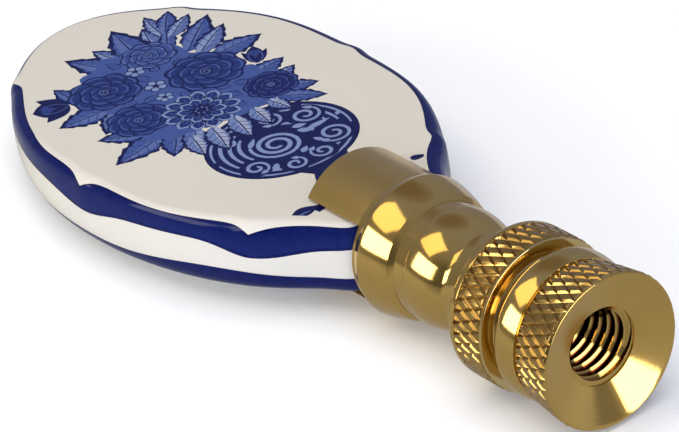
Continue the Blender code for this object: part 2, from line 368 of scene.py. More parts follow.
def knurled_ring(name, start, radius_start, radius_end, last):
    """A closed ring, cut off at last, whose outside is cut into raised diamonds."""
    low_end = radius_end - KNURL_RELIEF
    piece = tube(name, start, radius_start - KNURL_RELIEF, low_end)
    old = len(piece.data.vertices)
    # Each cell poked to four triangles, and the triangles joined in pairs to diamonds
    edit("FACE")
    face_outwards()
    bpy.ops.mesh.poke(offset=0.0)
    bpy.ops.mesh.select_mode(type="EDGE")
    bpy.ops.mesh.select_all(action="DESELECT")
    done()
    faces_on = {}
    for face in piece.data.polygons:
        for key in face.edge_keys:
            faces_on[key] = faces_on.get(key, 0) + 1
    for edge in piece.data.edges:
        ends = tuple(sorted(edge.vertices))
        edge.select = max(ends) < old and faces_on[ends] == 2
    bpy.ops.object.mode_set(mode="EDIT")
    bpy.ops.mesh.dissolve_edges(use_verts=False)
    bpy.ops.mesh.select_mode(type="FACE")
    bpy.ops.mesh.select_all(action="SELECT")
    # Each diamond raised, the end cut straight and the shell closed on the inside
    bpy.ops.mesh.inset(thickness=KNURL_SLOPE, depth=KNURL_RELIEF, use_individual=True,
                       use_even_offset=True)
    bpy.ops.mesh.select_all(action="SELECT")
    bpy.ops.mesh.bisect(plane_co=(0.0, last, 0.0), plane_no=(0.0, 1.0, 0.0), clear_outer=True)
    bpy.ops.mesh.select_mode(type="EDGE")
    bpy.ops.mesh.select_non_manifold(extend=False)
    inner = KNURL_ROOT / low_end
    bpy.ops.mesh.extrude_region_move()
    bpy.ops.transform.resize(value=(1.0 - inner, 1.0, 1.0 - inner), center_override=(0, 0, 0))
    bpy.ops.mesh.bridge_edge_loops()
    face_outwards()
    done()
    apply_modifier(piece, "BEVEL", width=KNURL_SOFTNESS, segments=2, limit_method="ANGLE",
                   angle_limit=radians(20.0))
    return piece


def thread(name):
    """The helical ridge of the tapped hole, as a closed solid sunk into the wall."""
    deselect_all()
    bpy.ops.mesh.primitive_plane_add(size=1.0)
    piece = bpy.context.object
    piece.name = name
    wall = HOLE_RADIUS + 0.1
    half_foot = 0.42
    half_crest = 0.07
    corners = [(wall, -half_foot), (wall, half_foot), (CREST_RADIUS, half_crest)]
    corners += [(CREST_RADIUS, -half_crest)]
    edit()
    bpy.ops.mesh.delete(type="ONLY_FACE")
    done()
    # The plane numbers its corners in two rows
    for index, (radius, place) in zip((0, 1, 3, 2), corners):
        piece.data.vertices[index].co = (radius, place, 0.0)
    turns = ceil((THREAD_END + 1.0) / THREAD_PITCH)
    apply_modifier(piece, "SCREW", axis="Y", angle=tau, screw_offset=THREAD_PITCH,
                   iterations=turns, steps=60, render_steps=60, use_smooth_shade=False,
                   use_merge_vertices=False)
    edit("EDGE")
    bpy.ops.mesh.select_non_manifold(extend=False)
    bpy.ops.mesh.edge_face_add()
    for place, side in ((THREAD_START, -1.0), (THREAD_END, 1.0)):
        bpy.ops.mesh.select_all(action="SELECT")
        bpy.ops.mesh.bisect(plane_co=(0.0, place, 0.0), plane_no=(0.0, side, 0.0),
                            clear_outer=True, use_fill=True)
    face_outwards()
    done()
    return piece


def block(low, high):
    """A plain cutting block between two corners."""
    deselect_all()
    middle = [0.5 * (a + b) for a, b in zip(low, high)]
    bpy.ops.mesh.primitive_cube_add(size=1.0, location=middle)
    piece = bpy.context.object
    piece.scale = [b - a for a, b in zip(low, high)]
    bpy.ops.object.transform_apply()
    return piece


def make_base():
    """The brass base, one closed body."""
    base = turned("brass_base_turned", base_profile())
    band = knurled_ring("band", RIM_EDGE + 0.02, BAR_RADIUS, BAND_ROOT_RADIUS, BAND_END)
    lip = RING_END - RING_LIP
    ring = knurled_ring("ring", RING_KNURL_START + 0.03, BAR_RADIUS, BAR_RADIUS, lip - 0.03)
    combine(base, band, "UNION")
    combine(base, ring, "UNION")
    combine(base, thread("thread"), "UNION")
    half = FACE_HEIGHT + SEAT_GAP
    combine(base, block((-20.0, COLLAR_END, -half), (20.0, JAW_END + 5.0, half)), "DIFFERENCE")
    lay_down(base)
    work_on(base)
    # The filed flats it lies on; the threshold is in metres here
    edit("FACE")
    bpy.ops.mesh.bisect(plane_co=(0, 0, 0), plane_no=(0, 0, 1), clear_inner=True, use_fill=True,
                        threshold=0.0000001)
    done()
    bpy.ops.object.shade_smooth_by_angle(angle=SMOOTH_ANGLE)
    return base


def oval(angle):
    """A point of the plaque's smooth oval, with the blunt tab at its near end."""
    across = PLAQUE_HALF_WIDTH * cos(angle) * (1.0 + PLAQUE_EGG * sin(angle))
    along = PLAQUE_HALF_LENGTH * sin(angle)
    if along < 0.0:
        inside = (TAB_HALF_WIDTH - abs(across)) / TAB_ROUND
        share = 0.5 + 0.5 * tanh(inside)
        along -= share * (PLAQUE_HALF_LENGTH + TAB_LENGTH + along)
    return across, along


def outline():
    """Round the plaque: place, outward direction, and how near the place is to a cusp (0 to 1)."""
    cusps = [-RIGHT_CUSP_ANGLE, 0.0, FAR_CUSP_ANGLE]
    cusps += [180.0 - FAR_CUSP_ANGLE, 180.0, 180.0 + NEAR_CUSP_ANGLE]
    points = []
    for start, end in zip(cusps, cusps[1:] + [360.0 - RIGHT_CUSP_ANGLE]):
        for step in range(BRACKET_STEPS):
            share = step / BRACKET_STEPS
            angle = radians(start + (end - start) * share)
            place = oval(angle)
            before = oval(angle - NORMAL_STEP)
            after = oval(angle + NORMAL_STEP)
            run = Vector((after[0] - before[0], after[1] - before[1])).normalized()
            points.append((place, (run.y, -run.x), abs(2.0 * share - 1.0), angle))
    return points


def wave(t):
    """Rises from 0 in a bracket's middle to 1 at its cusps."""
    return 0.5 * (1.0 - cos(pi * t))


def spike(t):
    """A narrow peak at a bracket's cusps."""
    return exp((t - 1.0) / CUSP_WIDTH)


def side_share(angle, centre, spread):
    """How near an angle in degrees is to a centre, from 1 there to 0 at the spread and beyond."""
    apart = abs((degrees(angle) - centre + 180.0) % 360.0 - 180.0)
    return wave(max(0.0, 1.0 - apart / spread))


def edge_section(place):
    """Inset and height at a place down the plaque's edge, 0 to 1 on the flat face's rim,
    1 to 2 over the shoulder, 2 to 3 down the wall, 3 to 4 round the foot."""
    wall_top = FACE_HEIGHT - SHOULDER_DROP
    if place <= 1.0:
        return SHOULDER_WIDTH + FLAT_RUN * (1.0 - place), FACE_HEIGHT
    if place <= 2.0:
        turn = 0.5 * pi * (place - 1.0)
        drop = SHOULDER_DROP * (1.0 - cos(turn))
        return SHOULDER_WIDTH * (1.0 - sin(turn)), FACE_HEIGHT - drop
    if place <= 3.0:
        return 0.0, wall_top + (WALL_END - wall_top) * (place - 2.0)
    turn = 0.5 * pi * (place - 3.0)
    drop = (FACE_HEIGHT + WALL_END) * sin(turn)
    return FOOT_WIDTH * (1.0 - cos(turn)), WALL_END - drop


def wall_place(height):
    """The place down the edge at a height on the wall."""
    wall_top = FACE_HEIGHT - SHOULDER_DROP
    return 2.0 + (wall_top - height) / (wall_top - WALL_END)


def edge_point(station, place):
    """A point of the plaque's edge at a station of the outline."""
    (across, along), (out_x, out_y), t, _ = station
    inset, height = edge_section(place)
    share = max(0.0, (height + 1.0) / (FACE_HEIGHT + 1.0)) ** 3.2
    inset += share * SCALLOP_DEPTH * wave(t) * (1.0 - 0.7 * exp(-((1.0 - t) / CUSP_WIDTH) ** 2))
    return (across - inset * out_x, PLAQUE_CENTRE + along - inset * out_y, height)


def edge_rows(station):
    """Places down the edge and the cobalt above and below each, in step all round."""
    _, _, t, angle = station
    # The hand-painted band rides up the shoulder on the far and near sides and dips at the cusps
    far = side_share(angle, 20.0, 150.0)
    near = side_share(angle, -62.0, 45.0)
    left = side_share(angle, 165.0, 50.0)
    lobe = side_share(angle, 143.0, 24.0)
    corner = side_share(angle, -125.0, 55.0)
    band_top = 1.42 - 0.6 * far - 0.8 * near - 0.1 * left - 0.75 * lobe + 0.5 * spike(t) * (1.0 - far)
    band_foot = wall_place(1.25 - 0.5 * left - (1.15 - 0.5 * left) * wave(t) ** 3)
    # The line round the foot wavers, thin at the left end and thick beside it
    ripple = 0.06 * sin(3.0 * angle + 1.0) + 0.04 * sin(8.0 * angle)
    line_top = 3.31 + 0.16 * left - 0.17 * corner + ripple
    line_foot = 3.93
    # Facets in rows between two places; the brush left the band a little darker along both edges, and the
    # band is painted lighter towards its lower middle as a painted reflection on the rounded shoulder
    edge = 0.1 * (band_foot - band_top)
    rows = []
    for count, start, end, first, final in (
        (4, 0.0, band_top, BARE, BARE),
        (2, band_top, band_top + edge, 1.02, 1.0),
        (6, band_top + edge, band_foot - edge, 0.98, 0.93),
        (2, band_foot - edge, band_foot, 0.97, 1.0),
        (9, band_foot, line_top, BARE, BARE),
        (6, line_top, line_foot, 0.98, 0.98),
        (2, line_foot, 4.0, BARE, BARE),
    ):
        for step in range(count):
            low = step / count
            high = (step + 1) / count
            place = start + (end - start) * high
            above = first + (final - first) * low
            below = first + (final - first) * high
            rows.append((place, above, below))
    return rows


class Painting:
    """Flat shapes in the plane of the plaque's face, each with a cobalt strength, later ones on top."""

    def __init__(self):
        self.shapes = []

    def fill(self, tone, points):
        """Add a closed shape."""
        self.shapes.append((tone, points))

    def line(self, tone, points, width, taper=0.35):
        """Add a brush line along some points, thinner at its ends."""
        left = []
        right = []
        last = len(points) - 1
        for index, (x, y) in enumerate(points):
            before = points[max(index - 1, 0)]
            after = points[min(index + 1, last)]
            run = Vector((after[0] - before[0], after[1] - before[1])).normalized()
            swell = taper + (1.0 - taper) * sin(pi * (index + 0.5) / (last + 1.0))
            half = 0.5 * width * swell
            left.append((x - run.y * half, y + run.x * half))
            right.append((x + run.y * half, y - run.x * half))
        self.fill(tone, left + right[::-1])


def turn_about(x, y, centre, angle):
    """A point turned by an angle and moved to a centre."""
    c = cos(angle)
    s = sin(angle)
    return centre[0] + x * c - y * s, centre[1] + x * s + y * c


def lobed(centre, rx, ry, turn=0.0, lobes=0, depth=0.0, count=28):
    """An oval with a wavy edge."""
    points = []
    for step in range(count):
        angle = tau * step / count
        reach = 1.0 + depth * cos(lobes * angle)
        points.append(turn_about(rx * reach * cos(angle), ry * reach * sin(angle), centre, turn))
    return points


def disc(centre, radius, count):
    """A round dot."""
    return lobed(centre, radius, radius, count=count)


def blade(base, tip, width, teeth=0, notch=0.0, fullness=0.8, steps=16):
    """The outline of a leaf or petal from its base to its tip, with toothed sides."""
    run = Vector((tip[0] - base[0], tip[1] - base[1]))
    turn = atan2(run.y, run.x)
    side = []
    for step in range(1, steps):
        t = step / steps
        half = 0.5 * width * sin(pi * t ** fullness)
        if teeth:
            half *= 1.0 - notch * ((teeth * t) % 1.0)
        side.append((run.length * t, half))
    points = [(0.0, 0.0)] + side + [(run.length, 0.0)] + [(x, -y) for x, y in side[::-1]]
    return [turn_about(x, y, base, turn) for x, y in points]


def curl(centre, radius, turns, start, hand=1.0, inner=0.12, count=44):
    """Points of a spiral running in towards its centre."""
    points = []
    for step in range(count):
        t = step / (count - 1)
        reach = radius * (1.0 - t) + radius * inner * t
        points.append(turn_about(reach, 0.0, centre, start + hand * tau * turns * t))
    return points


def bend(start, end, rise, count=10):
    """Points of a shallow arc between two places."""
    points = []
    run = Vector((end[0] - start[0], end[1] - start[1]))
    for step in range(count):
        t = step / (count - 1)
        lift = 4.0 * rise * t * (1.0 - t)
        points.append((start[0] + run.x * t - run.y * lift, start[1] + run.y * t + run.x * lift))
    return points


def paint_leaf(picture, base, tip, width, tone):
    """A toothed leaf with a dark edge, a lighter half and drawn veins."""
    run = Vector((tip[0] - base[0], tip[1] - base[1]))
    across = Vector((-run.y, run.x)).normalized()
    picture.fill(NAVY, blade(base, tip, width * 1.12, teeth=5, notch=0.28))
    inner = (tip[0] - 0.1 * run.x, tip[1] - 0.1 * run.y)
    picture.fill(tone, blade(base, inner, width * 0.86, teeth=5, notch=0.25))
    shift = 0.16 * width
    half = [(base[0] + across.x * shift, base[1] + across.y * shift),
            (inner[0] + across.x * shift * 0.4, inner[1] + across.y * shift * 0.4)]
    picture.fill(tone - 0.16, blade(half[0], half[1], width * 0.34))
    picture.line(NAVY, bend(base, inner, 0.02), 0.13)
    for share in (0.25, 0.42, 0.59, 0.74):
        root = Vector(base) + run * share
        for side in (-1.0, 1.0):
            reach = 0.36 * width * sin(pi * (share + 0.12) ** 0.8)
            end = root + run.normalized() * reach * 0.8 + across * side * reach
            picture.line(COBALT, bend(tuple(root), tuple(end), 0.08 * side, 5), 0.09)


def paint_peony(picture, centre, radius, tone, turn):
    """A full flower: rings of ruffled petals with pale rims, closing on a curled heart."""
    picture.fill(NAVY, lobed(centre, radius, radius * 0.94, turn, 9, 0.05, 54))
    for share, size, count, shift in ((0.7, 0.36, 9, 0.0), (0.43, 0.32, 7, 0.4), (0.2, 0.25, 5, 0.9)):
        for petal in range(count):
            angle = turn + shift + tau * petal / count
            where = (centre[0] + radius * share * cos(angle),
                     centre[1] + radius * share * 0.94 * sin(angle))
            reach = radius * size
            picture.fill(NAVY, lobed(where, reach * 0.92, reach * 1.1, angle, 5, 0.05, 22))
            picture.fill(tone, lobed(where, reach * 0.78, reach * 0.96, angle, 5, 0.06, 22))
            rim = []
            for step in range(9):
                swing = radians(-70.0 + 17.5 * step)
                rim.append(turn_about(reach * 0.62 * cos(swing), reach * 0.8 * sin(swing),
                                      where, angle))
            picture.line(tone - 0.24, rim, 0.13 * reach + 0.05)
    picture.fill(NAVY, disc(centre, radius * 0.17, 14))
    picture.line(LIGHT, curl(centre, radius * 0.17, 1.6, turn, 1.0, 0.2, 22), 0.13)


def paint_aster(picture, centre, radius):
    """A flower of dark petals with pale edges, in two rings round a dotted heart."""
    picture.fill(NAVY, lobed(centre, radius * 0.9, radius * 0.84, 0.0, 12, 0.08, 60))
    for share, count, length, width in ((0.5, 13, 0.52, 0.4), (0.22, 10, 0.42, 0.32)):
        for petal in range(count):
            angle = tau * (petal + 0.5 * share) / count
            base = turn_about(radius * share * 0.9, 0.0, centre, angle)
            tip = turn_about(radius * (share + length), 0.0, centre, angle)
            picture.fill(NAVY, blade(base, tip, radius * width * 1.2, fullness=1.5, steps=10))
            picture.fill(PALE, blade(base, tip, radius * width, fullness=1.5, steps=10))
            core = turn_about(radius * (share + length * 0.86), 0.0, centre, angle)
            picture.fill(DEEP, blade(base, core, radius * width * 0.72, fullness=1.4, steps=10))
            vein = turn_about(radius * (share + length * 0.6), 0.0, centre, angle)
            picture.line(MIDDLE, bend(base, vein, 0.05, 4), 0.1)
    picture.fill(NAVY, lobed(centre, radius * 0.25, radius * 0.25, 0.0, 8, 0.08, 24))
    for dot in range(7):
        angle = tau * dot / 7
        where = turn_about(radius * 0.15, 0.0, centre, angle)
        picture.fill(LIGHT, disc(where, 0.12, 8))


def paint_bud(picture, centre, length, width, turn):
    """A closed round bud with a pointed tip, held by two dark sepals."""
    base = turn_about(-0.5 * length, 0.0, centre, turn)
    tip = turn_about(0.55 * length, 0.0, centre, turn)
    heart = turn_about(-0.05 * length, 0.0, centre, turn)
    picture.fill(NAVY, blade(base, tip, width * 0.7, fullness=1.3))
    picture.fill(NAVY, lobed(heart, 0.4 * length, 0.42 * width, turn, 5, 0.06, 30))
    picture.fill(COBALT, lobed(heart, 0.33 * length, 0.33 * width, turn, 5, 0.06, 30))
    for side in (-1.0, 1.0):
        sepal = turn_about(0.3 * length, side * 0.55 * width, centre, turn)
        picture.fill(NAVY, blade(base, sepal, width * 0.4))
        petal = turn_about(0.3 * length, side * 0.12 * width, centre, turn)
        picture.line(MIDDLE, bend(base, petal, 0.2 * side), 0.12)


def paint_floret(picture, centre, radius):
    """A small pale five-petalled flower."""
    for petal in range(5):
        where = turn_about(radius * 0.6, 0.0, centre, tau * petal / 5 + 0.3)
        picture.fill(NAVY, disc(where, radius * 0.46, 12))
        picture.fill(PALE, disc(where, radius * 0.34, 12))
    picture.fill(NAVY, disc(centre, radius * 0.2, 10))


def paint_scroll(picture, centre, radius, turns, start, hand, width):
    """A bold pale scroll on its own dark ground, with a leaf springing from its outer end."""
    picture.fill(NAVY, disc(centre, radius + 0.38, 30))
    picture.line(PALE, curl(centre, radius, turns, start, hand, 0.2), width, 0.7)
    root = turn_about(radius, 0.0, centre, start)
    tip = turn_about(radius * 1.05, 0.0, centre, start - 0.75 * hand)
    picture.fill(PALE, blade(root, tip, 0.5, fullness=0.7, steps=8))


def paint_jar(picture):
    """A round jar covered in scrolls, on a dark foot and stand, with pale leaves over its shoulder."""
    centre = (0.15, 40.6)
    wide = 6.55
    tall = 5.95
    picture.line(NAVY, bend((-4.9, 29.3), (4.6, 29.4), 0.05, 16), 1.2, 0.7)
    picture.fill(NAVY, blade((-4.2, 29.8), (-6.9, 29.9), 1.4, fullness=1.1))
    picture.fill(NAVY, lobed((5.55, 29.75), 0.6, 0.4, -0.3, 3, 0.1, 20))
    picture.line(LIGHT, bend((-6.7, 29.4), (-5.2, 29.6), 0.1, 6), 0.16, 0.3)
    picture.fill(NAVY, [(-2.3, 32.6), (-1.5, 34.0), (-2.4, 35.6), (2.9, 35.6), (2.0, 34.0), (2.7, 32.6)])
    picture.fill(NAVY, lobed(centre, wide, tall, count=64))
    for share, spans, width in (
        (0.91, ((100, 168), (176, 250), (258, 330), (338, 400)), 0.24),
        (0.79, ((100, 200), (208, 246), (290, 338), (350, 420)), 0.34),
        (0.67, ((120, 190), (205, 240), (310, 350), (0, 70)), 0.34),
        (0.55, ((130, 196), (320, 352), (10, 60)), 0.34),
        (0.43, ((140, 180), (330, 352), (20, 70)), 0.34),
    ):
        for start, end in spans:
            points = []
            for step in range(14):
                angle = radians(start + (end - start) * step / 13)
                points.append((centre[0] + wide * share * cos(angle),
                               centre[1] + tall * share * sin(angle)))
            picture.line(PALE, points, width, 0.6)
    for where, radius, turns, start, hand, width in (
        ((3.7, 38.3), 1.45, 1.6, 3.9, 1.0, 0.33),
        ((3.9, 42.5), 1.3, 1.5, 0.4, -1.0, 0.33),
        ((1.4, 44.2), 1.15, 1.4, 4.4, 1.0, 0.32),
        ((-4.0, 38.4), 1.05, 1.3, 5.2, 1.0, 0.32),
        ((-1.4, 36.6), 0.95, 1.25, 0.6, -1.0, 0.3),
        ((1.3, 36.6), 1.0, 1.3, 2.4, 1.0, 0.3),
        ((-0.6, 40.3), 2.2, 2.4, 2.6, 1.0, 0.4),
    ):
        paint_scroll(picture, where, radius, turns, start, hand, width)
    for base, tip, width in (
        ((1.9, 40.9), (2.9, 39.9), 0.7), ((1.9, 41.6), (3.1, 41.2), 0.7),
        ((2.4, 40.4), (5.0, 40.5), 0.6), ((-3.2, 36.9), (-2.4, 37.8), 0.6),
        ((0.0, 37.6), (0.9, 38.2), 0.6), ((2.4, 37.9), (2.0, 38.9), 0.5),
        ((5.6, 40.4), (6.2, 41.0), 0.4), ((-3.2, 42.8), (-2.5, 43.6), 0.6),
    ):
        picture.fill(PALE, blade(base, tip, width))
    for base, tip, width in (
        ((-4.4, 46.9), (-5.5, 43.3), 2.1), ((-2.4, 46.9), (-3.7, 42.5), 2.3),
        ((-0.2, 47.0), (-1.2, 42.8), 2.3), ((1.7, 46.9), (1.2, 43.4), 2.1),
        ((3.4, 46.9), (3.9, 44.2), 1.8),
    ):
        paint_leaf(picture, base, tip, width, PALE + 0.08)


def paint_bouquet():
    """The whole picture: foliage first, then the jar, then the flowers over it."""
    picture = Painting()
    for base, tip, width, tone in (
        ((-1.2, 60.0), (-3.9, 66.4), 3.3, MIDDLE), ((-0.4, 61.5), (-1.3, 66.0), 2.4, LIGHT),
        ((2.2, 60.6), (3.9, 66.0), 2.4, LIGHT), ((0.6, 60.6), (1.9, 67.8), 3.5, MIDDLE),
        ((2.8, 60.4), (5.9, 65.0), 1.6, MIDDLE), ((4.4, 63.4), (5.2, 67.6), 1.9, LIGHT),
        ((4.9, 63.8), (7.3, 66.9), 2.0, MIDDLE), ((4.6, 62.6), (8.2, 65.0), 1.9, LIGHT),
        ((4.0, 59.2), (9.2, 63.6), 2.8, MIDDLE), ((4.3, 58.0), (9.1, 61.1), 2.5, LIGHT),
        ((4.9, 56.9), (10.1, 56.9), 3.0, MIDDLE), ((5.0, 51.3), (8.8, 52.0), 2.3, MIDDLE),
        ((5.2, 49.0), (8.6, 50.2), 2.0, LIGHT), ((5.0, 47.8), (8.2, 46.2), 2.3, MIDDLE),
        ((4.2, 46.9), (7.3, 43.8), 2.3, MIDDLE), ((-6.0, 56.3), (-10.9, 56.7), 3.1, MIDDLE),
        ((-5.4, 55.4), (-8.9, 52.7), 2.6, LIGHT), ((-5.8, 50.2), (-10.0, 52.4), 2.7, MIDDLE),
        ((-5.2, 49.2), (-11.3, 47.8), 3.1, MIDDLE), ((-4.6, 48.8), (-7.3, 45.2), 2.6, MIDDLE),
        ((-3.3, 48.0), (-5.8, 44.4), 2.3, LIGHT), ((-7.0, 59.0), (-7.4, 62.8), 2.0, MIDDLE),
    ):
        paint_leaf(picture, base, tip, width, tone)
    for centre, rx, ry, turn in (
        ((-1.0, 57.5), 5.6, 6.2, 0.0), ((1.2, 50.6), 5.6, 4.4, 0.0), ((-3.4, 50.6), 4.0, 3.2, 0.2),
    ):
        picture.fill(MIDDLE, lobed(centre, rx, ry, turn, 11, 0.07, 66))
    for place in range(46):
        angle = 2.4 * place
        reach = 0.78 * sqrt(place)
        base = (-0.6 + reach * cos(angle), 55.3 + 1.25 * reach * sin(angle))
        tip = turn_about(1.7, 0.0, base, angle)
        picture.fill(NAVY, blade(base, tip, 1.0))
        picture.fill(MIDDLE, blade(base, tip, 0.7))
        picture.line(COBALT, bend(base, tip, 0.03, 4), 0.1)
    paint_jar(picture)
    paint_bud(picture, (-9.4, 60.0), 3.0, 3.8, radians(160.0))
    paint_bud(picture, (7.4, 54.2), 3.0, 2.0, radians(62.0))
    paint_peony(picture, (5.2, 48.9), 2.35, 0.94, 0.5)
    paint_peony(picture, (-5.6, 52.6), 2.8, 0.86, 0.2)
    paint_peony(picture, (1.4, 61.4), 2.4, 0.7, 0.7)
    paint_peony(picture, (-4.8, 58.9), 3.15, 0.86, 0.0)
    paint_peony(picture, (3.0, 55.2), 3.4, 0.86, 0.3)
    paint_floret(picture, (-1.3, 56.4), 1.0)
    paint_floret(picture, (-1.0, 59.9), 0.9)
    paint_floret(picture, (-1.9, 54.2), 0.8)
    paint_aster(picture, (-1.2, 49.9), 3.3)
    return picture


def inside(points, polygon):
    """Which points lie inside a closed shape, by the even-odd rule."""
    found = np.zeros(len(points), dtype=bool)
    x, y = points[:, 0], points[:, 1]
    last = polygon[-1]
    for corner in polygon:
        (x0, y0), (x1, y1) = last, corner
        last = corner
        if y0 == y1:
            continue
        crosses = (y0 > y) != (y1 > y)
        found ^= crosses & (x < (x1 - x0) * (y - y0) / (y1 - y0) + x0)
    return found


def painted_face(name, rim):
    """The plaque's flat face, cut along every painted edge, with the cobalt of each facet."""
    picture = paint_bouquet()
    places = [Vector((x, y)) for x, y, _ in rim]
    count = len(places)
    edges = [(index, (index + 1) % count) for index in range(count)]
    for _, shape in picture.shapes:
        first = len(places)
        places += [Vector(point) for point in shape]
        edges += [(first + index, first + (index + 1) % len(shape)) for index in range(len(shape))]
    verts, _, faces, *_ = delaunay_2d_cdt(places, edges, [], 0, 0.001)
    corners = np.array([tuple(v) for v in verts])
    triangles = np.array(faces)
    middles = corners[triangles].mean(axis=1)
    kept = inside(middles, [(x, y) for x, y, _ in rim])
    triangles = triangles[kept]
    middles = middles[kept]
    cobalt = np.zeros(len(triangles))
    for tone, shape in picture.shapes:
        box = np.array(shape)
        near = np.all((middles >= box.min(axis=0)) & (middles <= box.max(axis=0)), axis=1)
        where = np.flatnonzero(near)
        cobalt[where[inside(middles[where], shape)]] = tone
    mesh = bpy.data.meshes.new(name)
    points = [(x, y, FACE_HEIGHT) for x, y in corners]
    mesh.from_pydata(points, [], triangles.tolist())
    strength = mesh.attributes.new("cobalt", "FLOAT", "CORNER")
    strength.data.foreach_set("value", np.repeat(cobalt, 3))
    piece = bpy.data.objects.new(name, mesh)
    bpy.context.scene.collection.objects.link(piece)
    return piece


def plaque_edge(name, loops):
    """The plaque's edge extruded loop by loop, closed underneath, and each corner's loop and station."""
    count = len(loops[0])
    deselect_all()
    bpy.ops.mesh.primitive_circle_add(vertices=count, radius=PLAQUE_HALF_WIDTH)
    piece = bpy.context.object
    piece.name = name
    edit()
    for _ in loops[1:]:
        bpy.ops.mesh.extrude_region_move(TRANSFORM_OT_translate={"value": (0.0, 0.0, -1.0)})
    bpy.ops.mesh.edge_face_add()
    done()
    spots = {}
    first = piece.data.vertices[0].co
    for vertex in piece.data.vertices:
        turn = atan2(vertex.co.y, vertex.co.x) - atan2(first.y, first.x)
        spots[vertex.index] = (round(-vertex.co.z), round(turn / tau * count) % count)
    for index, (row, station) in spots.items():
        piece.data.vertices[index].co = loops[row][station]
    return piece, spots


def paint_edge(piece, spots, rows):
    """Give the edge's facets their cobalt, from the rows above and below each."""
    strength = piece.data.attributes.new("cobalt", "FLOAT", "CORNER")
    values = np.zeros(len(piece.data.loops))
    for face in piece.data.polygons:
        if len(face.vertices) > 4:
            continue
        lower = max(spots[vertex][0] for vertex in face.vertices)
        for loop in face.loop_indices:
            row, station = spots[piece.data.loops[loop].vertex_index]
            _, above, below = rows[station][lower - 1]
            values[loop] = above if row < lower else below
    strength.data.foreach_set("value", values)


def make_plaque():
    """The porcelain plaque: its edge hangs from the rim of the painted face."""
    stations = outline()
    rows = [edge_rows(station) for station in stations]
    rim = [edge_point(station, 0.0) for station in stations]
    loops = [rim]
    for row in range(len(rows[0])):
        loops.append([edge_point(station, rows[index][row][0]) for index, station in enumerate(stations)])
    piece, spots = plaque_edge("porcelain_plaque_painted", loops)
    paint_edge(piece, spots, rows)
    face = painted_face("painted_face", rim)
    work_on(piece)
    face.select_set(True)
    bpy.ops.object.join()
    edit()
    bpy.ops.mesh.remove_doubles(threshold=FINE_WELD)
    face_outwards()
    done()
    lay_down(piece)
    bpy.ops.object.shade_smooth()
    return piece


def finial_axes(tree, place):
    """A place in the finial's own axes, still in metres, and its distance from the turning axis."""
    own = add_node(tree, "Mapping", None, {"Vector": (place, "Object")},
                   Rotation=(LEAN, 0.0, 0.0), Location=LYING.inverted().translation * MM)
    parts = add_node(tree, "SeparateXYZ", None, {"Vector": (own, "Vector")})
    across = add_node(tree, "CombineXYZ", None, {"X": (parts, "X"), "Z": (parts, "Z")})
    radius = add_node(tree, "VectorMath", {"operation": "LENGTH"}, {0: (across, "Vector")})
    return parts, radius


def rolled_knurling(tree, parts, radius):
    """1 on the rolled knurling of the band and the ring, and 0 elsewhere."""
    stops = []
    for start, end in ((BAND_START, BAND_END), (RING_KNURL_START, RING_END - RING_LIP - 0.1)):
        stops += [((start - 0.1) / RING_END, BLACK), (start / RING_END, WHITE)]
        stops += [(end / RING_END, WHITE), ((end + 0.1) / RING_END, BLACK)]
    along = add_node(tree, "MapRange", None, {"Value": (parts, "Y")}, From_Max=RING_END * MM)
    rolled = add_node(tree, "ValToRGB", None, {"Fac": (along, "Result")}, stops)
    outside = add_node(tree, "MapRange", None, {"Value": (radius, "Value")},
                       From_Min=5.4 * MM, From_Max=5.5 * MM)
    return add_node(tree, "Math", {"operation": "MULTIPLY"},
                    {0: (rolled, "Color"), 1: (outside, "Result")})


def brass_roughness(tree, parts, haze, knurling):
    """Polished all over with faint haze, duller on the milled jaws and on the rolled knurling."""
    polish = add_node(tree, "MapRange", None, {"Value": (haze, "Fac")}, To_Min=0.06, To_Max=0.13)
    jaw_start = COLLAR_END * MM
    milled = add_node(tree, "MapRange", None, {"Value": (parts, "Y")},
                      From_Min=jaw_start, From_Max=jaw_start + 0.2 * MM, To_Max=0.16)
    dullness = add_node(tree, "Math", {"operation": "ADD"},
                        {0: (polish, "Result"), 1: (milled, "Result")})
    knurls = add_node(tree, "Math", {"operation": "MULTIPLY_ADD"},
                      {0: (knurling, "Value"), 2: (dullness, "Value")})
    knurls.inputs[1].default_value = 0.13
    return knurls


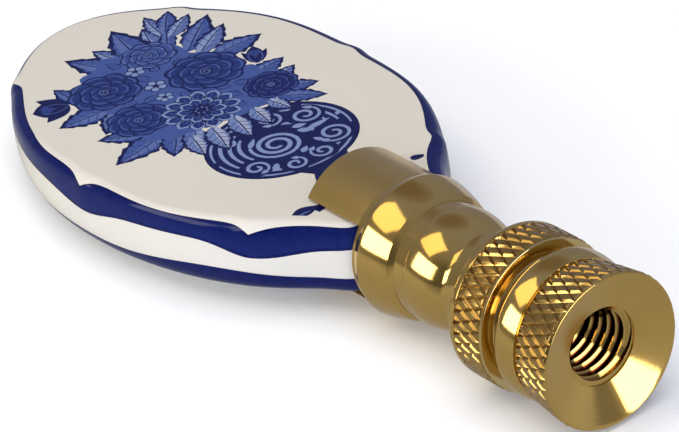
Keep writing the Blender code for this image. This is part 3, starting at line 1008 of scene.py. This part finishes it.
def brass_colour(tree, parts, radius, haze, knurling):
    """Warm brass, with painted light making the groove paler, painted shade darkening the thread's roots
    and painted shade dulling the knurling.
    """
    tint = add_node(tree, "Mix", MIX, {"Factor": (haze, "Fac")},
                    A=linear("#E0B96A"), B=linear("#D2B067"))
    # Painted light: the groove between the bead and the ring is coloured a paler yellow, standing for light
    # caught there
    groove = add_node(tree, "MapRange", None, {"Value": (parts, "Y")},
                      From_Min=(BEAD_END - 0.15) * MM, From_Max=(RING_START + 0.15) * MM)
    painted_light_mask = add_node(tree, "ValToRGB", None, {"Fac": (groove, "Result")},
                      ((0.0, BLACK), (0.15, WHITE), (0.85, WHITE), (1.0, BLACK)))
    painted_light_mix = add_node(tree, "Mix", MIX,
                      {"Factor": (painted_light_mask, "Color"), "A": (tint, "Result")}, B=linear("#DFC890"))
    # Painted shade: the thread's roots, deeper in the hole, are darkened to a maroon brown
    depth = add_node(tree, "MapRange", None, {"Value": (radius, "Value")},
                     From_Min=CREST_RADIUS * MM, From_Max=(HOLE_RADIUS + 0.2) * MM)
    root_shade_ramp = add_node(tree, "ValToRGB", None, {"Fac": (depth, "Result")},
                   ((0.08, WHITE), (0.35, THREAD_ROOT_SHADE), (0.75, THREAD_ROOT_SHADE), (0.95, WHITE)))
    sunk = add_node(tree, "MapRange", None, {"Value": (parts, "Y")},
                    From_Min=1.5 * MM, From_Max=2.1 * MM)
    shaded_roots = add_node(tree, "Mix", MULTIPLY,
                       {"Factor": (sunk, "Result"), "A": (painted_light_mix, "Result"), "B": (root_shade_ramp, "Color")})
    # Painted shade: the knurled bands are darkened, standing for the shade in their valleys
    return add_node(tree, "Mix", MULTIPLY,
                    {"Factor": (knurling, "Value"), "A": (shaded_roots, "Result")}, B=linear("#D6D0CC"))


def brass_material():
    """Turned and polished brass: a warm mirror with fine lathe rings and faint handling haze."""
    made, tree, shader = new_material("polished_turned_brass")
    place = add_node(tree, "TexCoord")
    parts, radius = finial_axes(tree, place)
    # Lathe rings about 0.12 mm apart
    rings = add_node(tree, "CombineXYZ", None, {"X": (radius, "Value"), "Y": (parts, "Y")})
    turning = add_node(tree, "TexNoise", {"noise_dimensions": "2D"}, {"Vector": (rings, "Vector")},
                       Scale=1.0 / (0.12 * MM), Detail=2.0)
    cuts = add_node(tree, "Bump", None, {"Height": (turning, "Fac")}, Strength=0.1, Distance=0.02 * MM)
    # Handling haze in patches about 2.5 mm across
    haze = add_node(tree, "TexNoise", None, {"Vector": (place, "Object")}, Scale=1.0 / (2.5 * MM),
                    Detail=3.0)
    knurling = rolled_knurling(tree, parts, radius)
    colour = brass_colour(tree, parts, radius, haze, knurling)
    roughness = brass_roughness(tree, parts, haze, knurling)
    tree.links.new(colour.outputs["Result"], shader.inputs["Base Color"])
    tree.links.new(roughness.outputs["Value"], shader.inputs["Roughness"])
    tree.links.new(cuts.outputs["Normal"], shader.inputs["Normal"])
    shader.inputs["Metallic"].default_value = 1.0
    return made


def porcelain_material():
    """Glazed porcelain: cobalt brushed on under the glaze, which gives a clear gloss over the blues."""
    made, tree, shader = new_material("cobalt_painted_porcelain")
    place = add_node(tree, "TexCoord")
    cobalt = add_node(tree, "Attribute", {"attribute_name": "cobalt"})
    # Pigment gathers in patches about 0.6 mm across
    pooling = add_node(tree, "TexNoise", None, {"Vector": (place, "Object")}, Scale=1.0 / (0.6 * MM),
                       Detail=3.0)
    wash = add_node(tree, "MapRange", None, {"Value": (pooling, "Fac")}, To_Min=0.95, To_Max=1.04)
    strength = add_node(tree, "Math", {"operation": "MULTIPLY", "use_clamp": True},
                        {0: (cobalt, "Fac"), 1: (wash, "Result")})
    blues = add_node(tree, "ValToRGB", None, {"Fac": (strength, "Value")}, (
        (BARE, "#CEC7B9"), (PALE, "#7685AC"), (LIGHT, "#546495"), (MIDDLE, "#3A4C86"),
        (COBALT, "#22346E"), (0.9, "#13215A"), (NAVY, "#080F42"),
    ))
    # The glaze ripples gently over about 3 mm
    ripple = add_node(tree, "TexNoise", None, {"Vector": (place, "Object")}, Scale=1.0 / (3.0 * MM),
                      Detail=1.0)
    surface = add_node(tree, "Bump", None, {"Height": (ripple, "Fac")}, Strength=0.15,
                       Distance=0.1 * MM)
    tree.links.new(blues.outputs["Color"], shader.inputs["Base Color"])
    tree.links.new(surface.outputs["Normal"], shader.inputs["Normal"])
    shader.inputs["Roughness"].default_value = 0.12
    shader.inputs["IOR"].default_value = 1.5
    # A faint reflection, so that the blues stay deep
    shader.inputs["Specular IOR Level"].default_value = 0.16
    return made


def dress(piece, finish, node):
    """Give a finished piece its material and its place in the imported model."""
    piece.data.materials.clear()
    piece.data.materials.append(finish)
    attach(piece, "root")
    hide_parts(node)


def make_table():
    """The pale table top, which the brass doesn't mirror."""
    deselect_all()
    bpy.ops.mesh.primitive_plane_add(size=3.0)
    table = bpy.context.object
    table.name = "table_top"
    made, _, shader = new_material("matt_white_board")
    shader.inputs["Base Color"].default_value = linear("#FBFBFA")
    shader.inputs["Roughness"].default_value = 0.9
    table.data.materials.append(made)
    table.visible_glossy = False


def aim(azimuth, elevation):
    """The direction at an azimuth from +X and a height above the XY plane, both in degrees."""
    turn = radians(azimuth)
    rise = radians(elevation)
    return Vector((cos(turn) * cos(rise), sin(turn) * cos(rise), sin(rise)))


def softbox(name, away, distance, width, height, brightness, code, mirrored=True, lights=True):
    """An area light of a given brightness that faces the finial, which the brass may mirror."""
    light = bpy.data.lights.new(name, "AREA")
    light.shape = "RECTANGLE"
    light.size = width
    light.size_y = height
    light.energy = brightness * pi * width * height
    light.color = linear(code)[:3]
    made = bpy.data.objects.new(name, light)
    bpy.context.scene.collection.objects.link(made)
    made.location = away * distance
    made.rotation_euler = away.to_track_quat("Z", "Y").to_euler()
    made.visible_glossy = mirrored
    made.visible_diffuse = lights


def make_lights():
    """Windows that the brass mirrors, and soft lamps that only light the finial and the table."""
    softbox("left_window", aim(160.0, 20.0), 0.45, 0.28, 0.2, 5.0, DAYLIGHT)
    softbox("upper_window", aim(141.0, 55.0), 0.45, 0.26, 0.24, 1.7, LAMPLIGHT, lights=False)
    softbox("front_window", aim(-85.5, 12.5), 0.5, 0.33, 0.31, 5.0, DAYLIGHT, lights=False)
    softbox("upper_light", aim(152.0, 52.0), 0.45, 0.22, 0.22, 1.7, LAMPLIGHT, mirrored=False)
    softbox("front_light", aim(-79.5, 1.0), 0.5, 0.24, 0.24, 5.0, DAYLIGHT, mirrored=False)
    softbox("right_light", aim(-43.0, 21.0), 0.5, 0.16, 0.2, 4.0, "#FFFFF2", mirrored=False)
    softbox("ceiling", aim(-150.0, 80.0), 0.7, 0.8, 0.8, 1.8, WHITE, mirrored=False)
    softbox("wall_wash", aim(-129.0, 11.0), 0.6, 0.5, 0.3, 5.9, SKYLIGHT, mirrored=False)


def make_room():
    """The room that the brass mirrors: grey walls, brighter below the table's edge, cooler above."""
    world = bpy.data.worlds.new("studio")
    bpy.context.scene.world = world
    world.use_nodes = True
    tree = world.node_tree
    place = add_node(tree, "TexCoord")
    parts = add_node(tree, "SeparateXYZ", None, {"Vector": (place, "Generated")})
    height = add_node(tree, "MapRange", None, {"Value": (parts, "Z")}, From_Min=-1.0)
    walls = add_node(tree, "ValToRGB", None, {"Fac": (height, "Result")}, (
        (0.0, "#AAAAAA"), (0.3, "#B1B1B1"), (0.42, "#BCBCBC"), (0.475, "#B8B8B8"), (0.495, "#868686"),
        (1.0, "#939393"),
    ))
    painted = (walls, "Color")
    # A cooler half above the far end, a dark corner left of the view and a dark shape overhead
    for away, outer, inner, colour in (
        (aim(27.0, 48.0), 90.0, 26.0, (1.05, 1.16, 1.7)),
        (aim(-167.0, 14.5), 37.0, 21.5, (0.5, 0.5, 0.5)),
        (aim(58.0, 51.0), 22.0, 8.0, (0.7, 0.56, 0.4)),
    ):
        near = add_node(tree, "VectorMath", {"operation": "DOT_PRODUCT"}, {0: (place, "Generated")})
        near.inputs[1].default_value = away
        share = add_node(tree, "MapRange", None, {"Value": (near, "Value")},
                         From_Min=cos(radians(outer)), From_Max=cos(radians(inner)))
        tint = add_node(tree, "Mix", MULTIPLY,
                        {"Factor": (share, "Result"), "A": painted}, B=(*colour, 1.0))
        painted = (tint, "Result")
    source, output = painted
    tree.links.new(source.outputs[output], tree.nodes["Background"].inputs["Color"])


def make_camera():
    """The photograph's view, given in the finial's axes and carried over to the lying finial."""
    back = aim(VIEW_AZIMUTH - 90.0, VIEW_ELEVATION)
    right = aim(VIEW_AZIMUTH, 0.0)
    up = back.cross(right)
    side = right * cos(VIEW_ROLL) + up * sin(VIEW_ROLL)
    top = up * cos(VIEW_ROLL) - right * sin(VIEW_ROLL)
    x = (KNOB_PIXEL[0] - 0.5 * PICTURE_WIDTH) / FOCAL_PIXELS * VIEW_DISTANCE
    y = -(KNOB_PIXEL[1] - 0.5 * PICTURE_HEIGHT) / FOCAL_PIXELS * VIEW_DISTANCE
    view = Matrix((side, top, back)).transposed().to_4x4()
    view.translation = back * VIEW_DISTANCE - side * x - top * y
    lying = LYING @ view
    lens = bpy.data.cameras.new("photo_view")
    lens.sensor_width = SENSOR_WIDTH
    lens.lens = FOCAL_PIXELS * SENSOR_WIDTH / PICTURE_WIDTH
    lens.clip_start = 0.01
    camera = bpy.data.objects.new("photo_view", lens)
    bpy.context.scene.collection.objects.link(camera)
    camera.matrix_world = Matrix.Translation(lying.translation) @ lying.to_quaternion().to_matrix().to_4x4()
    bpy.context.scene.camera = camera


make_camera()
make_room()
make_table()
make_lights()
bpy.context.scene.view_settings.view_transform = "Standard"

dress(make_base(), brass_material(), "brass_base")
dress(make_plaque(), porcelain_material(), "porcelain_plaque")
